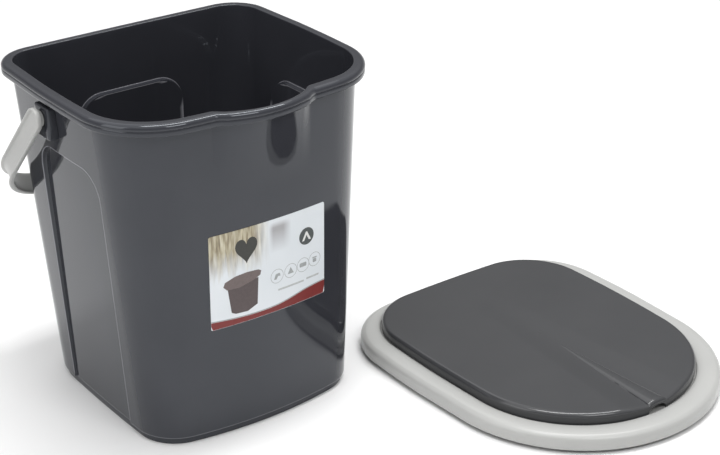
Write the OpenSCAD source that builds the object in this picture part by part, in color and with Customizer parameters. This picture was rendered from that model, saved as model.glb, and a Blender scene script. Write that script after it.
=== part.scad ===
// Portable camp toilet: a tall bucket with a pour lip and a swinging bail, a loose seat
// ring and a loose lid. The bucket stands; the seat lies on the floor beside it with the
// lid on top. Millimetres, +Z up, origin in the middle of the bucket's base, front to -Y.

/* [Bucket] */
// Height of the bucket to the top of its rim
bucket_h = 360; // [356:1:400]
// Width of the rim over its sides
rim_w = 320; // [306:1:322]
// Depth of the rim from front to back
rim_d = 281; // [278:1:284]
// How far the rim's sides bow outwards
rim_side_bow = 6; // [3:0.5:10]
// How far the rim's front bows outwards
rim_front_bow = 15; // [10:0.5:20]
// Radius of the rim's front corners
rim_front_r = 80; // [60:1:82]
// Radius of the rim's back corners
rim_back_r = 43; // [35:1:60]
// Width of the foot
foot_w = 248; // [246:1:262]
// Depth of the foot
foot_d = 252; // [241:1:262]
// How far the foot's front bows outwards
foot_front_bow = 18; // [10:0.5:22]
// Radius of the foot's front corners
foot_front_r = 45; // [35:1:51]
// Radius of the foot's back corners
foot_back_r = 55; // [45:1:56]
// Height of the set-back foot band
foot_h = 8; // [5:0.5:12]
// How far the foot band is set back from the wall
foot_step = 2.6; // [1.5:0.1:4]
// Thickness of the moulded wall
wall = 2.4; // [2:0.1:3]
// Thickness of the bucket's floor
floor_t = 3; // [2.5:0.1:4]

/* [Rim] */
// Width of the rim's flat top
lip_w = 11.5; // [11:0.5:14]
// Height of the rim's turned-down edge
lip_h = 12; // [9:0.5:14]
// How far the pour lip's step carries the inner edge forwards
spout_step = 9; // [6:0.5:10]
// How much further the pour lip bows out in its middle
spout_bow = 10; // [6:0.5:12]
// Share of the pour lip's reach that the outer edge has
spout_outer_share = 0.74; // [0.7:0.02:0.9]
// Half width of the pour lip inside its steps
spout_half_w = 43; // [36:1:46]
// Width of each step beside the pour lip
spout_step_w = 14; // [10:1:16]
// Height at which the pour lip has faded into the wall
spout_low = 262; // [240:1:275]

/* [Panels] */
// Half width of the recessed panel in each side wall
side_panel_half = 58; // [48:1:59]
// Half width of the recessed panel in the back wall
back_panel_half = 61; // [50:1:62]
// Height of the panels' top edge
panel_top = 290; // [275:1:300]
// Radius of the panels' top corners
panel_r = 28; // [20:1:34]
// Depth of the panels at their top
panel_depth_top = 5; // [3:0.5:6]
// Depth of the panels at the base
panel_depth_low = 2.2; // [1.5:0.1:2.4]

/* [Bail] */
// How far behind the bucket's middle the pivots are
pivot_y = 23; // [15:1:30]
// Height of the pivots
pivot_z = 329; // [322:1:334]
// Distance between the bail's two inner faces
bail_gap = 324; // [323:0.5:330]
// Length of the bail from its pivots to the inner face of its grip
bail_len = 173; // [173:1:180]
// Angle between the hanging bail and the vertical
bail_hang = 43; // [43:0.5:48]
// Width of the bail's strap
strap_w = 24; // [20:0.5:26]
// Depth of the strap's channel section
strap_d = 6; // [5:0.5:8]
// Thickness of the strap's web and flanges
strap_t = 2.2; // [1.8:0.1:2.6]
// Inner radius of the bail's corners
bail_corner_r = 73; // [60:1:80]
// How far the grip bows away from the pivots
bail_bow = 10; // [6:0.5:12]
// Diameter of the pivot studs
stud_dia = 9; // [8:0.5:11]
// Radial running clearance of a stud in its boss
stud_play = 0.08; // [0.04:0.01:0.1]

/* [Pivot boss] */
// Width of a pivot boss along the wall
boss_w = 28; // [24:1:32]
// Height of a pivot boss
boss_h = 34; // [30:1:36]
// Radius of the boss's upright edges
boss_r = 4; // [2:0.5:6]

/* [Seat] */
// Width of the seat
seat_w = 328; // [326:1:340]
// Reach of the seat in front of its middle
seat_front = 238; // [225:1:250]
// Reach of the seat behind its middle
seat_back = 145; // [143:1:150]
// Thickness of the seat over its crown
seat_h = 20.8; // [19:0.2:23]
// Half width of the opening
hole_half = 94; // [85:1:100]
// Reach of the opening in front of the seat's middle
hole_front = 114; // [100:1:118]
// Reach of the opening behind the seat's middle
hole_back = 92; // [88:1:100]
// Sideways place of the seat's middle on the floor
seat_x = 316; // [312:1:360]
// Front-to-back place of the seat's middle on the floor
seat_y = -170; // [-260:1:-160]

/* [Lid] */
// Width of the lid
lid_w = 274; // [272:1:284]
// Reach of the lid in front of its middle
lid_front = 209; // [200:1:215]
// Reach of the lid behind its middle
lid_back = 134; // [128:1:136]
// Height of the lid's flat top above the floor
lid_top = 29.8; // [28:0.2:32]
// Thickness of the lid
lid_t = 2.2; // [1.8:0.1:2.6]
// Half width of the finger notch in the lid's front edge
notch_half = 12.8; // [10:0.2:14]
// Depth of the shallow valley at the lid's front edge
valley_depth = 3.2; // [1:0.2:3.4]

/* [Label] */
// Width of the label
label_w = 139; // [120:1:150]
// Height of the label
label_h = 104; // [90:1:110]
// Height of the label's lower edge
label_low = 126; // [110:1:140]
// Sideways place of the label's middle
label_x = 4.5; // [-10:0.5:10]

/* [Hidden] */
$fn = 64;

anthracite = "#45464b";
light_grey = "#c3c3bd";
paper_white = "#dfe3e6";

rim_back_bow = 1;
foot_side_bow = 4;
foot_back_bow = 1;
panel_step = 1.4;
overhang = lip_w - wall;
edge_soft = 1.2;
strap_gap = 0.4;
stud_end_gap = 0.8;
collar_rim = 7;
label_t = 0.3;
label_air = 0.15;
seat_floor_gap = 4;
seat_t = 2.6;
ledge_z = 16.6;
ledge_play = 1.2;
rib_t = 2.2;
rib_half = 55;
front_rib_w = 34;
front_rib_back = 4;
rim_play = 2;
rib_start = -54;
dome_y = -30;
lid_air = 0.2;
arch_top = lid_top - 4.9;
valley_half_w = 27;
valley_spread = 0.09;
valley_mid_y = -14;
valley_end_y = 95;
valley_run = 300;
tunnel_rise = 1.2;
wall_edge = 0.3;
lip_edge = 0.4;

// ---- plan outlines made of tangent arcs --------------------------------------------

// Radius of the arc over a half chord with a given bow.
function bow_radius(half, bow) = (half * half + bow * bow) / (2 * bow);

// One of the two points at distance r0 from c0 and r1 from c1, on the given side.
function reach(c0, r0, c1, r1, side) =
    let (d = norm(c1 - c0),
         a = (r0 * r0 - r1 * r1 + d * d) / (2 * d),
         h = sqrt(max(0, r0 * r0 - a * a)),
         u = (c1 - c0) / d)
    c0 + a * u + side * h * [-u.y, u.x];

function bearing(c, p) = atan2(p.y - c.y, p.x - c.x);

// A shape is [half width, front reach, back reach, side bow, front bow, back bow,
// front corner radius, back corner radius].
function inset(s, by) = [s[0] - by, s[1] - by, s[2] - by, s[3], s[4], s[5],
                         max(4, s[6] - by), max(4, s[7] - by)];

function mix(a, b, t) = a * (1 - t) + b * t;

// The arcs of a shape: front, back and right-hand side centres and radii, and the
// centres of the right-hand front and back corners.
function arcs(s) =
    let (rf = bow_radius(s[0], s[4]),
         rb = bow_radius(s[0], s[5]),
         rs = bow_radius((s[1] + s[2]) / 2, s[3]),
         cf = [0, rf - s[1]],
         cb = [0, s[2] - rb],
         cs = [s[0] - rs, 0])
    [cf, rf, cb, rb, cs, rs,
     reach(cf, rf - s[6], cs, rs - s[6], 1),
     reach(cb, rb - s[7], cs, rs - s[7], -1)];

// Points of the right-hand half, from the front middle to the back middle. xs are the
// places across the front, ys those along the side, xb those across the back; n_front
// and n_back points go round the corners.
function half_ring(s, xs, ys, xb, n_front, n_back) =
    let (a = arcs(s),
         t0 = bearing(a[0], a[6]), t1 = bearing(a[4], a[6]),
         t2 = bearing(a[4], a[7]), t3 = bearing(a[2], a[7]))
    concat(
        [for (x = xs) [x, a[0].y - sqrt(a[1] * a[1] - x * x)]],
        [for (i = [0 : n_front])
            a[6] + s[6] * [cos(mix(t0, t1, i / n_front)), sin(mix(t0, t1, i / n_front))]],
        [for (y = ys) [a[4].x + sqrt(a[5] * a[5] - y * y), y]],
        [for (i = [0 : n_back])
            a[7] + s[7] * [cos(mix(t2, t3, i / n_back)), sin(mix(t2, t3, i / n_back))]],
        [for (x = xb) [x, a[2].y + sqrt(a[3] * a[3] - x * x)]]);

// The half mirrored into a closed ring; the first and last points lie on the middle line.
function full_ring(h) = concat(h, [for (i = [len(h) - 2 : -1 : 1]) [-h[i].x, h[i].y]]);

function at_z(ring, z) = [for (p = ring) [p.x, p.y, z]];

// Triangles between ring k and ring k + 1 of a stack with n points a ring.
function band(k, n) =
    [for (i = [0 : n - 1]) for (t = [0, 1])
        let (j = (i + 1) % n)
        t == 0 ? [k * n + i, (k + 1) * n + i, k * n + j]
               : [k * n + j, (k + 1) * n + i, (k + 1) * n + j]];

// A solid from a stack of rings that runs from the first ring round to the last one,
// both closed with flat faces.
module capped(rings) {
    n = len(rings[0]);
    m = len(rings);
    polyhedron(
        points = [for (r = rings) for (p = r) p],
        faces = concat([[for (i = [0 : n - 1]) i]],
                       [for (k = [0 : m - 2]) for (f = band(k, n)) f],
                       [[for (i = [n - 1 : -1 : 0]) (m - 1) * n + i]]),
        convexity = 8);
}

// A ring-shaped solid: the last ring joins the first one again.
module looped(rings) {
    n = len(rings[0]);
    m = len(rings);
    total = n * m;
    polyhedron(
        points = [for (r = rings) for (p = r) p],
        faces = [for (k = [0 : m - 1]) for (f = band(k, n)) [for (v = f) v % total]],
        convexity = 8);
}

// ---- bucket -------------------------------------------------------------------------

rim_shape = [rim_w / 2, rim_d / 2, rim_d / 2, rim_side_bow, rim_front_bow, rim_back_bow,
             rim_front_r, rim_back_r];
foot_shape = [foot_w / 2, foot_d / 2, foot_d / 2, foot_side_bow, foot_front_bow,
              foot_back_bow, foot_front_r, foot_back_r];
wall_top_shape = inset(rim_shape, overhang);
wall_low_shape = inset(foot_shape, -foot_step);

function wall_shape(z) = mix(wall_low_shape, wall_top_shape, z / bucket_h);

// How far the pour lip carries the edge forwards at x, for a full reach of 1.
function spout_reach(x, step, bow) =
    let (u = abs(x) - spout_half_w)
    u < 0 ? step + bow * (1 - pow(x / spout_half_w, 2))
          : u < spout_step_w ? step * (1 + cos(180 * u / spout_step_w)) / 2 : 0;

function spout_fade(z) = pow(max(0, (z - spout_low) / (bucket_h - spout_low)), 1.6);

// Half width of a panel at height z, with round top corners.
function panel_half(half, z, top) =
    z <= top - panel_r ? half
    : half - panel_r + sqrt(max(0, panel_r * panel_r - pow(min(z, top) - top + panel_r, 2)));

function panel_depth(z, top) =
    z > top ? 0 : mix(panel_depth_low, panel_depth_top, z / top);

// One ring of the bucket. in is how far it lies inside the outer wall, grow moves the
// panel's edges outwards so that the moulded wall keeps its thickness, and share is
// how much of the pour lip's reach the ring has.
function bucket_ring(shape, z, in, grow, share, recessed) =
    let (s = inset(shape, in),
         top = panel_top + grow,
         hs = panel_half(side_panel_half + grow, z, top),
         hb = panel_half(back_panel_half + grow, z, top),
         dep = recessed ? panel_depth(z, top) : 0,
         xs = concat([for (t = [0, 0.26, 0.51, 0.77, 0.93]) t * spout_half_w],
                     [for (i = [0 : 3]) spout_half_w + spout_step_w * i / 3]),
         ys = [-hs - panel_step, -hs, -hs * 0.5, 0, hs * 0.5, hs, hs + panel_step],
         xb = [hb + panel_step, hb, hb * 0.5, 0],
         h = half_ring(s, xs, ys, xb, 6, 5),
         n = len(h),
         first_y = len(xs) + 7,
         last_y = first_y + len(ys) - 1)
    full_ring([for (i = [0 : n - 1])
        i < len(xs) ? [h[i].x, h[i].y - share * spout_reach(h[i].x, spout_step, spout_bow)]
        : i > first_y && i < last_y ? [h[i].x - dep, h[i].y]
        : i > n - 4 ? [h[i].x, h[i].y - dep] : h[i]]);

// Heights of the rings up to the panels' round top corners, and above the panels.
wall_levels = [90, 180, panel_top - panel_r, panel_top - panel_r / 2,
               panel_top - panel_r / 5, panel_top - edge_soft, panel_top];
upper_levels = [304, 320, 338];
inner_floor_r = 6;

// The rim's turned-down edge as [inset, height, share of the pour lip's reach], from the
// wall outwards, round the top and back to the inner edge.
lip_low = bucket_h - lip_h;
lip_soft = 4.4;
lip_profile = [
    [wall, bucket_h - wall, spout_outer_share],
    [wall, lip_low, spout_outer_share],
    [lip_edge, lip_low, spout_outer_share],
    [0, lip_low + edge_soft, spout_outer_share],
    [0, bucket_h - lip_soft, spout_outer_share],
    [0.3 * lip_soft, bucket_h - 0.3 * lip_soft, spout_outer_share],
    [lip_soft, bucket_h, spout_outer_share],
    [lip_w - edge_soft, bucket_h, 1],
    [lip_w, bucket_h - edge_soft, 1]];

// A ring of the wall at height z, in inside its outer face.
function wall_ring(z, in, grow, recessed) =
    at_z(bucket_ring(wall_shape(z), z, in, grow, spout_fade(z), recessed), z);

function foot_ring(in, z) = at_z(bucket_ring(foot_shape, z, in, 0, 0, false), z);

// A ring inside the foot, where the wall meets the floor.
function floor_ring(in, z) =
    at_z(bucket_ring(wall_shape(foot_h), foot_h, in, wall, 0, false), z);

module bucket() {
    inner_levels = [for (z = wall_levels) z + (z > panel_top - 2 * panel_r ? wall : 0)];
    foot = [
        foot_ring(edge_soft, 0),
        foot_ring(0, edge_soft),
        foot_ring(0, foot_h),
        at_z(bucket_ring(wall_shape(foot_h), foot_h, 0, 0, 0, true), foot_h + wall_edge)];
    outer = concat(
        [for (z = wall_levels) wall_ring(z, 0, 0, true)],
        [for (z = concat([panel_top + panel_step], upper_levels, [bucket_h - wall]))
            wall_ring(z, 0, 0, false)]);
    lip = [for (p = lip_profile)
        at_z(bucket_ring(rim_shape, bucket_h, p[0], 0, p[2], false), p[1])];
    inner = concat(
        [for (i = [len(upper_levels) - 1 : -1 : 0])
            wall_ring(upper_levels[i], wall, wall, false)],
        [wall_ring(panel_top + panel_step + wall, wall, wall, false)],
        [for (i = [len(inner_levels) - 1 : -1 : 0])
            wall_ring(inner_levels[i], wall, wall, true)]);
    floor = [
        floor_ring(wall + foot_step, floor_t + inner_floor_r),
        floor_ring(wall + foot_step + inner_floor_r * 0.7, floor_t)];
    color(anthracite) capped(concat(foot, outer, lip, inner, floor));
}

// ---- pivot bosses -------------------------------------------------------------------

boss_top = 342;
boss_low = boss_top - boss_h;
boss_face = rim_w / 2 - 2;
boss_air = 0.25;
bore_depth = 7.2;
bore_floor = boss_face - bore_depth;

// The right-hand boss: a block between the wall and the bail, with a blind bore.
module pivot_boss() {
    root_low = wall_shape(boss_low)[0] + boss_air;
    root_top = wall_shape(boss_top)[0] + boss_air;
    front = pivot_y - boss_w / 2;
    back = pivot_y + boss_w / 2;
    color(anthracite)
    difference() {
        intersection() {
            translate([0, back, 0]) rotate([90, 0, 0])
                linear_extrude(boss_w)
                    polygon([[root_low, boss_low], [boss_face, boss_low],
                             [boss_face, boss_top], [root_top, boss_top]]);
            translate([0, 0, boss_low]) linear_extrude(boss_h)
                hull() {
                    for (y = [front + boss_r, back - boss_r])
                        translate([boss_face - boss_r, y]) circle(boss_r, $fn = 32);
                    translate([boss_face - boss_w, front]) square([boss_r, boss_w]);
                }
        }
        translate([bore_floor, pivot_y, pivot_z]) rotate([0, 90, 0])
            cylinder(d = stud_dia + 2 * stud_play, h = 2 * bore_depth);
    }
}

// The left-hand boss mirrors the right-hand one.
module left_pivot_boss() mirror([1, 0, 0]) pivot_boss();
module right_pivot_boss() pivot_boss();

// ---- bail ---------------------------------------------------------------------------

// The bail is drawn flat: x across, y from the pivots to the grip, z through the strap.
half_gap = bail_gap / 2;
grip_r = bow_radius(half_gap, bail_bow);
corner_x = half_gap - bail_corner_r;
corner_y = bail_len - grip_r
    + sqrt(pow(grip_r - bail_corner_r, 2) - corner_x * corner_x);
corner_turn = atan2(corner_y - bail_len + grip_r, corner_x);

bail_steps = 28;

// Outline of the bail seen flat, by outside its inner face: up one arm, round the first
// corner, along the bowed grip, round the second corner and down the other arm.
function arm_and_corner(by) =
    concat([[half_gap + by, -strap_w / 2]],
           [for (i = [0 : bail_steps])
               let (t = corner_turn * i / bail_steps)
               [corner_x + (bail_corner_r + by) * cos(t),
                corner_y + (bail_corner_r + by) * sin(t)]]);

function grip(by) =
    [for (i = [1 : bail_steps - 1])
        let (t = mix(corner_turn, 180 - corner_turn, i / bail_steps))
        [(grip_r + by) * cos(t), bail_len - grip_r + (grip_r + by) * sin(t)]];

function backwards(list) = [for (i = [len(list) - 1 : -1 : 0]) list[i]];

function bail_outline(by) =
    let (half = arm_and_corner(by))
    concat(half, grip(by), [for (p = backwards(half)) [-p.x, p.y]]);

// A strap of width w between two outlines of the bail, with round ends about the pivots.
module strap(from, to, w) {
    intersection() {
        translate([0, 0, -w / 2]) linear_extrude(w)
            polygon(concat(bail_outline(to), backwards(bail_outline(from))));
        translate([-bail_gap, 0, 0]) rotate([90, 0, 90]) linear_extrude(2 * bail_gap) {
            circle(d = w);
            translate([0, -w / 2]) square([2 * bail_len, w]);
        }
    }
}

// The right-hand pivot stud and the collar beside the boss.
module stud() {
    from = half_gap + strap_t / 2;
    translate([from, 0, 0]) rotate([0, -90, 0])
        cylinder(d = stud_dia, h = from - bore_floor - stud_end_gap);
    translate([from, 0, 0]) rotate([0, -90, 0])
        cylinder(d = stud_dia + collar_rim, h = from - boss_face - strap_gap);
}

module bail() {
    color(light_grey)
    translate([0, pivot_y, pivot_z]) rotate([bail_hang - 90, 0, 0]) {
        difference() {
            strap(0, strap_d, strap_w);
            strap(strap_t, strap_d + 1, strap_w - 2 * strap_t);
        }
        stud();
        mirror([1, 0, 0]) stud();
    }
}

// ---- seat ---------------------------------------------------------------------------

seat_shape = [seat_w / 2, seat_front, seat_back, 15, 122, 7, 158, 84];
lid_shape = [lid_w / 2, lid_front, lid_back, 10.4, 88, 5, 130, 74];
hole_shape = [hole_half, hole_front, hole_back, 12, 60, 20, 78, 64];

// Ring of the seat's own shapes, all with the same number of points.
function seat_ring(shape, by, z) =
    let (s = inset(shape, by))
    at_z(full_ring(half_ring(s, [0, 0.08 * s[0], 0.16 * s[0]], [-0.1 * s[2], 0.25 * s[2]],
                             [0.3 * s[0], 0.15 * s[0], 0], 12, 8)), z);

// Ring of a shape part of the way from the seat's edge to the lid's edge.
function border_ring(from, to, t, z) =
    seat_ring(mix(inset(seat_shape, from), inset(lid_shape, to), t), 0, z);

// Ribs under the seat: locating walls that drop into the bucket's mouth, with gussets
// whose lower edges rest on the rim.
module seat_ribs() {
    side_x = rim_w / 2 - lip_w - rim_play;
    back_y = rim_d / 2 - lip_w - rim_play;
    front_y = front_rib_back - back_y;
    front_x = spout_half_w + spout_step_w;
    crown_in = seat_h - 2.2;
    ledge_in = ledge_z - 1.4;
    for (m = [0, 1]) mirror([m, 0, 0]) {
        translate([side_x - rib_t, -rib_half, 0]) cube([rib_t, 2 * rib_half, crown_in]);
        for (y = [-rib_half, 0, rib_half])
            translate([side_x - rib_t / 2, y - rib_t / 2, seat_floor_gap])
                cube([lip_w, rib_t, crown_in - seat_floor_gap]);
        translate([front_x, front_y, 0]) cube([front_rib_w, rib_t, ledge_in]);
        for (x = [front_x, front_x + front_rib_w - rib_t])
            translate([x, front_y - lip_w, seat_floor_gap])
                cube([rib_t, lip_w + rib_t / 2, ledge_in - seat_floor_gap]);
    }
    translate([-rib_half, back_y - rib_t, 0]) cube([2 * rib_half, rib_t, ledge_in]);
}

module seat() {
    h = seat_h;
    lid_gap = -ledge_play;
    lid_rim = -ledge_play - 1.2;
    // Outer edge, from the open underside up to the crown.
    edge = [
        seat_ring(seat_shape, 2, seat_floor_gap),
        seat_ring(seat_shape, 0.5, seat_floor_gap + 0.6),
        seat_ring(seat_shape, 0, seat_floor_gap + 2.4),
        seat_ring(seat_shape, 0, h - 7),
        seat_ring(seat_shape, 1.4, h - 3.4),
        seat_ring(seat_shape, 4.2, h - 1.2)];
    // Crown, falling gently towards the lid, and the ledge that the lid lies on.
    crown = [
        border_ring(4.2, lid_rim, 0.25, h - 0.1),
        border_ring(4.2, lid_rim, 0.7, h - 0.6),
        seat_ring(lid_shape, lid_rim, h - 2.2),
        seat_ring(lid_shape, lid_gap, ledge_z)];
    // Round the edge of the opening and down its wall.
    opening = [
        seat_ring(hole_shape, -12, ledge_z - 0.6),
        seat_ring(hole_shape, -4, ledge_z - 2),
        seat_ring(hole_shape, -0.8, ledge_z - 5),
        seat_ring(hole_shape, 0, 3),
        seat_ring(hole_shape, 0.2, 0),
        seat_ring(hole_shape, -seat_t, 0)];
    // Underside, back to the outer edge.
    underside = [
        seat_ring(hole_shape, -seat_t - 0.4, ledge_z - 7),
        seat_ring(hole_shape, -6, ledge_z - 4),
        seat_ring(lid_shape, 6, ledge_z - seat_t - 0.2),
        seat_ring(lid_shape, lid_rim, ledge_z - seat_t),
        seat_ring(lid_shape, lid_rim - 1.2, h - 4.8),
        seat_ring(seat_shape, 7, h - seat_t - 0.6),
        seat_ring(seat_shape, 3.8, h - 5),
        seat_ring(seat_shape, seat_t, h - 8),
        seat_ring(seat_shape, seat_t, seat_floor_gap)];
    color(light_grey) translate([seat_x, seat_y, 0]) {
        looped(concat(edge, crown, opening, underside));
        seat_ribs();
    }
}

// ---- lid ----------------------------------------------------------------------------

// Half width of the shallow valley, which widens towards the front.
function valley_half(y) = valley_half_w - valley_spread * (y - valley_mid_y);
function valley_fade(y) = min(1, max(0, (valley_end_y - y) / valley_run));

// How far the top lies below or above its flat level.
function valley(x, y) =
    let (u = min(1, abs(x) / valley_half(y)))
    -valley_depth * valley_fade(y) * (1 + cos(180 * u)) / 2;

// The finger tunnel is half a cone that grows towards the front edge.
function tunnel_r(y) = max(0, notch_half * (rib_start - y) / (lid_front + rib_start));
function tunnel(x, y) =
    let (r = tunnel_r(y))
    abs(x) >= r ? 0
    : sqrt(r * r - x * x) * valley_fade(y) * tunnel_rise * valley_depth / notch_half;

// A ring of the lid inside its outline, shrunk towards the dome's middle. With relief it
// follows the valley and the tunnel.
function lid_ring(by, z, shrink, relief) =
    let (s = inset(lid_shape, by),
         xs = [for (t = [0, 0.35, 0.7, 0.92, 1.01, 1.25, 2]) t * notch_half],
         xb = [for (t = [0.3, 0.15, 0]) t * s[0]],
         ring = full_ring(half_ring(s, xs, [-15, 35], xb, 12, 7)))
    [for (p = ring)
        let (q = [p.x * shrink, (p.y - dome_y) * shrink + dome_y])
        [q.x, q.y, z + (relief ? valley(q.x, q.y) + tunnel(q.x, q.y) : 0)]];

// Lower edge of the skirt, arched over the finger notch at the front.
function lid_foot(by, z) =
    [for (p = lid_ring(by, z, 1, false))
        [p.x, p.y, p.y < 0 && abs(p.x) < notch_half
            ? z + (arch_top - z) * sqrt(1 - pow(p.x / notch_half, 2)) : z]];

module lid() {
    low = ledge_z + lid_air;
    under = lid_top - lid_t;
    flat_in = 5.2;
    shrinks = [0.16, 0.38, 0.62, 0.84];
    inner = concat(
        [for (k = shrinks) lid_ring(flat_in, under, k, true)],
        [lid_ring(flat_in + 0.4, under, 1, true),
         lid_ring(lid_t, lid_top - 5, 1, true),
         lid_foot(lid_t, low + 0.01)]);
    outer = concat(
        [lid_foot(0.2, low),
         lid_foot(0, low + 0.3),
         lid_ring(0, lid_top - 4.2, 1, true),
         lid_ring(0.8, lid_top - 1.9, 1, true),
         lid_ring(2.6, lid_top - 0.5, 1, true),
         lid_ring(flat_in, lid_top, 1, true)],
        [for (i = [len(shrinks) - 1 : -1 : 0]) lid_ring(flat_in, lid_top, shrinks[i], true)]);
    color(anthracite) translate([seat_x, seat_y, 0])
        domed(concat(inner, outer), [0, dome_y, under], [0, dome_y, lid_top]);
}

// A shell from a stack of rings that starts round one point and ends round another.
module domed(rings, first, last) {
    n = len(rings[0]);
    m = len(rings);
    total = n * m;
    polyhedron(
        points = concat([for (r = rings) for (p = r) p],
                        [first + [0, 0, valley(0, first.y)], last + [0, 0, valley(0, last.y)]]),
        faces = concat(
            [for (i = [0 : n - 1]) [i, (i + 1) % n, total]],
            [for (k = [0 : m - 2]) for (f = band(k, n)) f],
            [for (i = [0 : n - 1]) [total - n + (i + 1) % n, total - n + i, total + 1]]),
        convexity = 8);
}

// ---- label --------------------------------------------------------------------------

// Depth of the front wall's outer face at x and z.
function front_wall(x, z) =
    let (s = wall_shape(z), r = bow_radius(s[0], s[4]))
    r - s[1] - sqrt(r * r - x * x);

module label() {
    slices = 12;
    rings = [for (i = [0 : slices])
        let (x = label_x + label_w * (i / slices - 0.5),
             top = label_low + label_h,
             y_low = front_wall(x, label_low) - label_air,
             y_top = front_wall(x, top) - label_air)
        [[x, y_low - label_t, label_low], [x, y_low, label_low],
         [x, y_top, top], [x, y_top - label_t, top]]];
    color(paper_white) capped(rings);
}

bucket();
left_pivot_boss();
right_pivot_boss();
bail();
seat();
lid();
label();
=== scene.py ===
"""Portable camp toilet: the looks of a tall bucket, its bail, its loose seat and its loose lid.

The object's sizes are in millimetres in the CAD frame, and the mesh builders scale them to
metres. Materials, lights, the camera and the floor are in metres.
"""
import math
from collections import namedtuple

import bmesh
import bpy
from mathutils import Matrix, Vector


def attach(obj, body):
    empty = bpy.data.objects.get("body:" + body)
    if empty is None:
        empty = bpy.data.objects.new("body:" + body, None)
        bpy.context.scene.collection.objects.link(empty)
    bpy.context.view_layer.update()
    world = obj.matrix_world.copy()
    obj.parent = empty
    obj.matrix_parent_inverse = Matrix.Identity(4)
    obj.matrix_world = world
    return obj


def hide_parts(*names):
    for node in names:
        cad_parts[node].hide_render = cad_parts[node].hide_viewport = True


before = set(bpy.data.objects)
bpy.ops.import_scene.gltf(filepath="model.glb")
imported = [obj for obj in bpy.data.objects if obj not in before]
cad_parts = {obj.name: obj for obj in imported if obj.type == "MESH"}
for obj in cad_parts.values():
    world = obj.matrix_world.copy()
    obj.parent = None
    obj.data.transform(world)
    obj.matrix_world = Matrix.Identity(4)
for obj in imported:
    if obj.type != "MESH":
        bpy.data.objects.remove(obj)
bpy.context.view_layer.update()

MM = 0.001

# ---- sizes ---------------------------------------------------------------------------

BUCKET_H = 360.0
WALL = 2.4
FLOOR = 3.0
FOOT_H = 8.0
FOOT_STEP = 2.6
LIP_W = 11.5
LIP_H = 12.0
OVERHANG = LIP_W - WALL

SPOUT_STEP = 9.0
SPOUT_BOW = 10.0
SPOUT_OUTER = 0.74
SPOUT_HALF = 43.0
SPOUT_STEP_W = 14.0
SPOUT_LOW = 262.0
SPOUT_ROUND = 0.45
SPOUT_FADE = 1.6

SIDE_HALF = 58.0
BACK_HALF = 61.0
PANEL_TOP = 290.0
PANEL_R = 28.0
PANEL_DEEP = 5.0
PANEL_SHALLOW = 2.2
PANEL_STEP = 1.4

PIVOT_Y = 23.0
PIVOT_Z = 329.0
BAIL_GAP = 324.0
BAIL_LEN = 173.0
BAIL_HANG = 43.0
BAIL_CORNER = 73.0
BAIL_BOW = 10.0
STRAP_HALF = 12.0
STUD_R = 4.5
STUD_PLAY = 0.08
COLLAR_R = 8.0
BOSS_W = 28.0
BOSS_TOP = 342.0
BOSS_LOW = 308.0
BOSS_FACE = 158.0
BORE_FLOOR = 150.8

SEAT_AT = (316.0, -170.0)
LEDGE_Z = 16.6
LID_TOP = 29.8
LID_T = 2.2
LID_LOW = 16.8
LID_EDGE = 5.2
DOME_Y = -30.0
NOTCH = 12.8
ARCH_TOP = LID_TOP - 4.9
VALLEY_DEEP = 3.2
RIB_START = -54.0

LABEL_W = 139.0
LABEL_H = 104.0
LABEL_LOW = 126.0
LABEL_X = 4.5
LABEL_AIR = 0.15
LABEL_T = 0.3

# A plan shape: its half width, its reach forwards and back, how far each stretch bows
# outwards, and the radius of its front and back corners.
Plan = namedtuple("Plan", "half front back side_bow front_bow back_bow front_r back_r")
RIM = Plan(160.0, 140.5, 140.5, 6.0, 15.0, 1.0, 80.0, 43.0)
FOOT = Plan(124.0, 126.0, 126.0, 4.0, 18.0, 1.0, 45.0, 55.0)
SEAT = Plan(164.0, 238.0, 145.0, 15.0, 122.0, 7.0, 158.0, 84.0)
LID = Plan(137.0, 209.0, 134.0, 10.4, 88.0, 5.0, 130.0, 74.0)
HOLE = Plan(94.0, 114.0, 92.0, 12.0, 60.0, 20.0, 78.0, 64.0)
LEAST_R = 4.0


# ---- plan outlines made of tangent arcs ----------------------------------------------

def mix(a, b, t):
    return a + (b - a) * t


def mix_shape(a, b, t):
    return Plan(*(mix(p, q, t) for p, q in zip(a, b)))


def smooth(t):
    """An even rise from 0 to 1 with level ends."""
    t = min(1.0, max(0.0, t))
    return t * t * (3 - 2 * t)


def turns(first, last, step):
    """(cosine, sine) of the angles from first to last, in whole degrees."""
    angles = [math.radians(a) for a in range(first, last + 1, step)]
    return [(math.cos(t), math.sin(t)) for t in angles]


def inset(s, by):
    """The shape with its outline moved inwards."""
    return s._replace(half=s.half - by, front=s.front - by, back=s.back - by,
                      front_r=max(LEAST_R, s.front_r - by), back_r=max(LEAST_R, s.back_r - by))


def bow_radius(half, bow):
    """Radius of an arc that bows out by bow over a half width."""
    return (half * half + bow * bow) / (2 * bow)


def reach(c0, r0, c1, r1, side):
    """One of the two points at distance r0 from c0 and r1 from c1."""
    dx, dy = c1[0] - c0[0], c1[1] - c0[1]
    d = math.hypot(dx, dy)
    a = (r0 * r0 - r1 * r1 + d * d) / (2 * d)
    h = side * math.sqrt(max(0.0, r0 * r0 - a * a))
    return (c0[0] + (a * dx - h * dy) / d, c0[1] + (a * dy + h * dx) / d)


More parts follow.
